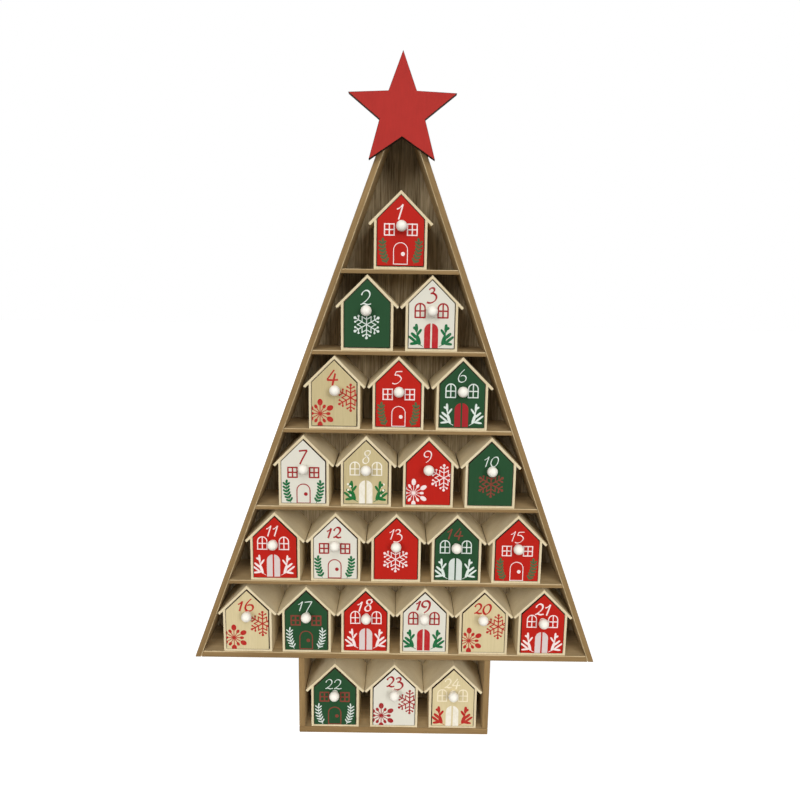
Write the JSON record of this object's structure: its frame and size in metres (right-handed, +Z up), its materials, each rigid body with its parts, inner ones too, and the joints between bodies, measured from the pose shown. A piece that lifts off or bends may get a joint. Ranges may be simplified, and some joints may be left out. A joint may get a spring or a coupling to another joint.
{
  "type": "advent calendar",
  "caption": "Free-standing wooden advent calendar: a tree shaped cabinet on a trunk base, with a star on top and numbered house shaped drawers that pull out.",
  "frame": {"origin": "middle of the base's underside, halfway through the cabinet's depth", "axes": "+X to the right seen from the front, +Y to the back, +Z up"},
  "size_m": [0.4154, 0.0705, 0.6755],
  "materials": {
    "case_wood": "plain sawn pine or ply edge, brown stain, matt",
    "back_ply": "weathered brown thin plywood, matt",
    "house_ply": "pale bare lime plywood, matt",
    "tray_ply": "pale bare plywood, matt",
    "drawer_red": "matt red paint on board",
    "drawer_green": "matt dark green paint on board",
    "drawer_white": "matt white paint on board",
    "drawer_natural": "bare plywood, matt",
    "star_red": "matt red paint on board, scorched edges",
    "knob_white": "satin white paint on a turned ball",
    "print_white": "thin matt white screen printed ink",
    "print_red": "thin matt red screen printed ink",
    "print_green": "thin matt green screen printed ink"
  },
  "bodies": {
    "case": {"side_board_left": "case_wood", "side_board_right": "case_wood", "tree_floor": "case_wood", "shelf_1": "case_wood", "shelf_2": "case_wood", "shelf_3": "case_wood", "shelf_4": "case_wood", "shelf_5": "case_wood", "base_frame": "case_wood", "tree_back_panel": "back_ply", "base_back_panel": "back_ply", "star_topper": "star_red", "house_01": "house_ply", "house_02": "house_ply", "house_03": "house_ply", "house_04": "house_ply", "house_05": "house_ply", "house_06": "house_ply", "house_07": "house_ply", "house_08": "house_ply", "house_09": "house_ply", "house_10": "house_ply", "house_11": "house_ply", "house_12": "house_ply", "house_13": "house_ply", "house_14": "house_ply", "house_15": "house_ply", "house_16": "house_ply", "house_17": "house_ply", "house_18": "house_ply", "house_19": "house_ply", "house_20": "house_ply", "house_21": "house_ply", "house_22": "house_ply", "house_23": "house_ply", "house_24": "house_ply"},
    "drawer_01": {"drawer_01": "drawer_red"},
    "drawer_02": {"drawer_02": "drawer_green"},
    "drawer_03": {"drawer_03": "drawer_white"},
    "drawer_04": {"drawer_04": "drawer_natural"},
    "drawer_05": {"drawer_05": "drawer_red"},
    "drawer_06": {"drawer_06": "drawer_green"},
    "drawer_07": {"drawer_07": "drawer_white"},
    "drawer_08": {"drawer_08": "drawer_natural"},
    "drawer_09": {"drawer_09": "drawer_red"},
    "drawer_10": {"drawer_10": "drawer_green"},
    "drawer_11": {"drawer_11": "drawer_red"},
    "drawer_12": {"drawer_12": "drawer_white"},
    "drawer_13": {"drawer_13": "drawer_red"},
    "drawer_14": {"drawer_14": "drawer_green"},
    "drawer_15": {"drawer_15": "drawer_red"},
    "drawer_16": {"drawer_16": "drawer_natural"},
    "drawer_17": {"drawer_17": "drawer_green"},
    "drawer_18": {"drawer_18": "drawer_red"},
    "drawer_19": {"drawer_19": "drawer_white"},
    "drawer_20": {"drawer_20": "drawer_natural"},
    "drawer_21": {"drawer_21": "drawer_red"},
    "drawer_22": {"drawer_22": "drawer_green"},
    "drawer_23": {"drawer_23": "drawer_white"},
    "drawer_24": {"drawer_24": "drawer_natural"}
  },
  "joints": [
    {"name": "drawer_01_slide", "type": "slide", "parent": "case", "child": "drawer_01", "axis": [0, -1, 0], "range_m": [0, 0.042]},
    {"name": "drawer_02_slide", "type": "slide", "parent": "case", "child": "drawer_02", "axis": [0, -1, 0], "range_m": [0, 0.042]},
    {"name": "drawer_03_slide", "type": "slide", "parent": "case", "child": "drawer_03", "axis": [0, -1, 0], "range_m": [0, 0.042]},
    {"name": "drawer_04_slide", "type": "slide", "parent": "case", "child": "drawer_04", "axis": [0, -1, 0], "range_m": [0, 0.042]},
    {"name": "drawer_05_slide", "type": "slide", "parent": "case", "child": "drawer_05", "axis": [0, -1, 0], "range_m": [0, 0.042]},
    {"name": "drawer_06_slide", "type": "slide", "parent": "case", "child": "drawer_06", "axis": [0, -1, 0], "range_m": [0, 0.042]},
    {"name": "drawer_07_slide", "type": "slide", "parent": "case", "child": "drawer_07", "axis": [0, -1, 0], "range_m": [0, 0.042]},
    {"name": "drawer_08_slide", "type": "slide", "parent": "case", "child": "drawer_08", "axis": [0, -1, 0], "range_m": [0, 0.042]},
    {"name": "drawer_09_slide", "type": "slide", "parent": "case", "child": "drawer_09", "axis": [0, -1, 0], "range_m": [0, 0.042]},
    {"name": "drawer_10_slide", "type": "slide", "parent": "case", "child": "drawer_10", "axis": [0, -1, 0], "range_m": [0, 0.042]},
    {"name": "drawer_11_slide", "type": "slide", "parent": "case", "child": "drawer_11", "axis": [0, -1, 0], "range_m": [0, 0.042]},
    {"name": "drawer_12_slide", "type": "slide", "parent": "case", "child": "drawer_12", "axis": [0, -1, 0], "range_m": [0, 0.042]},
    {"name": "drawer_13_slide", "type": "slide", "parent": "case", "child": "drawer_13", "axis": [0, -1, 0], "range_m": [0, 0.042]},
    {"name": "drawer_14_slide", "type": "slide", "parent": "case", "child": "drawer_14", "axis": [0, -1, 0], "range_m": [0, 0.042]},
    {"name": "drawer_15_slide", "type": "slide", "parent": "case", "child": "drawer_15", "axis": [0, -1, 0], "range_m": [0, 0.042]},
    {"name": "drawer_16_slide", "type": "slide", "parent": "case", "child": "drawer_16", "axis": [0, -1, 0], "range_m": [0, 0.042]},
    {"name": "drawer_17_slide", "type": "slide", "parent": "case", "child": "drawer_17", "axis": [0, -1, 0], "range_m": [0, 0.042]},
    {"name": "drawer_18_slide", "type": "slide", "parent": "case", "child": "drawer_18", "axis": [0, -1, 0], "range_m": [0, 0.042]},
    {"name": "drawer_19_slide", "type": "slide", "parent": "case", "child": "drawer_19", "axis": [0, -1, 0], "range_m": [0, 0.042]},
    {"name": "drawer_20_slide", "type": "slide", "parent": "case", "child": "drawer_20", "axis": [0, -1, 0], "range_m": [0, 0.042]},
    {"name": "drawer_21_slide", "type": "slide", "parent": "case", "child": "drawer_21", "axis": [0, -1, 0], "range_m": [0, 0.042]},
    {"name": "drawer_22_slide", "type": "slide", "parent": "case", "child": "drawer_22", "axis": [0, -1, 0], "range_m": [0, 0.042]},
    {"name": "drawer_23_slide", "type": "slide", "parent": "case", "child": "drawer_23", "axis": [0, -1, 0], "range_m": [0, 0.042]},
    {"name": "drawer_24_slide", "type": "slide", "parent": "case", "child": "drawer_24", "axis": [0, -1, 0], "range_m": [0, 0.042]}
  ]
}
